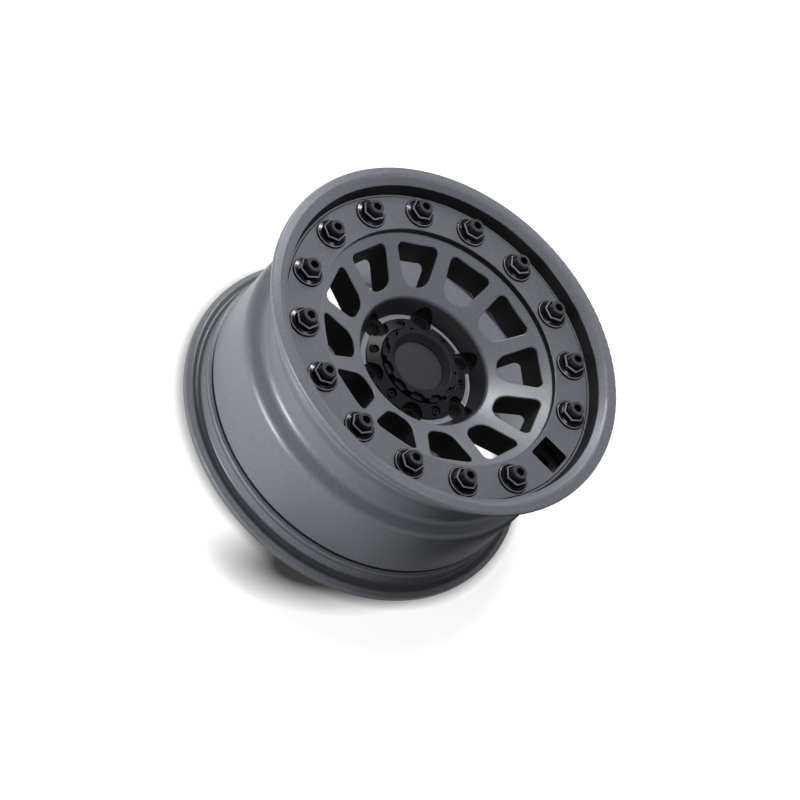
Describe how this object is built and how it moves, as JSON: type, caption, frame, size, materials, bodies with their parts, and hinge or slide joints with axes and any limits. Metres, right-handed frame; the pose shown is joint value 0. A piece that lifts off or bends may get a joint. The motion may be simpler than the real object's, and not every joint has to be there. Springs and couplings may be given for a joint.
{
  "type": "car wheel",
  "caption": "Satin grey cast off-road car wheel lying face up, with a spoked dished disc, a bolted trim ring, black flange nuts on studs and a black castellated centre cap",
  "frame": {"origin": "centre of the hub mounting face, on the wheel axis", "axes": "+Z along the wheel axis towards the outboard face, +X through the valve window, +Y by the right hand"},
  "size_m": [0.472, 0.472, 0.2412],
  "materials": {
    "casting": "satin grey paint",
    "ring": "satin grey paint",
    "stud": "black plated",
    "washer": "black plated",
    "nut": "black plated, semi-gloss",
    "cap": "satin black",
    "emblem": "bare, no lettering",
    "screw": "black plated"
  },
  "bodies": {
    "root": {"wheel_casting": "casting", "trim_ring": "ring", "ring_studs": "stud", "ring_washers": "washer", "ring_nuts": "nut", "cap_body": "cap", "cap_emblem": "emblem", "cap_screws": "screw"}
  },
  "joints": []
}
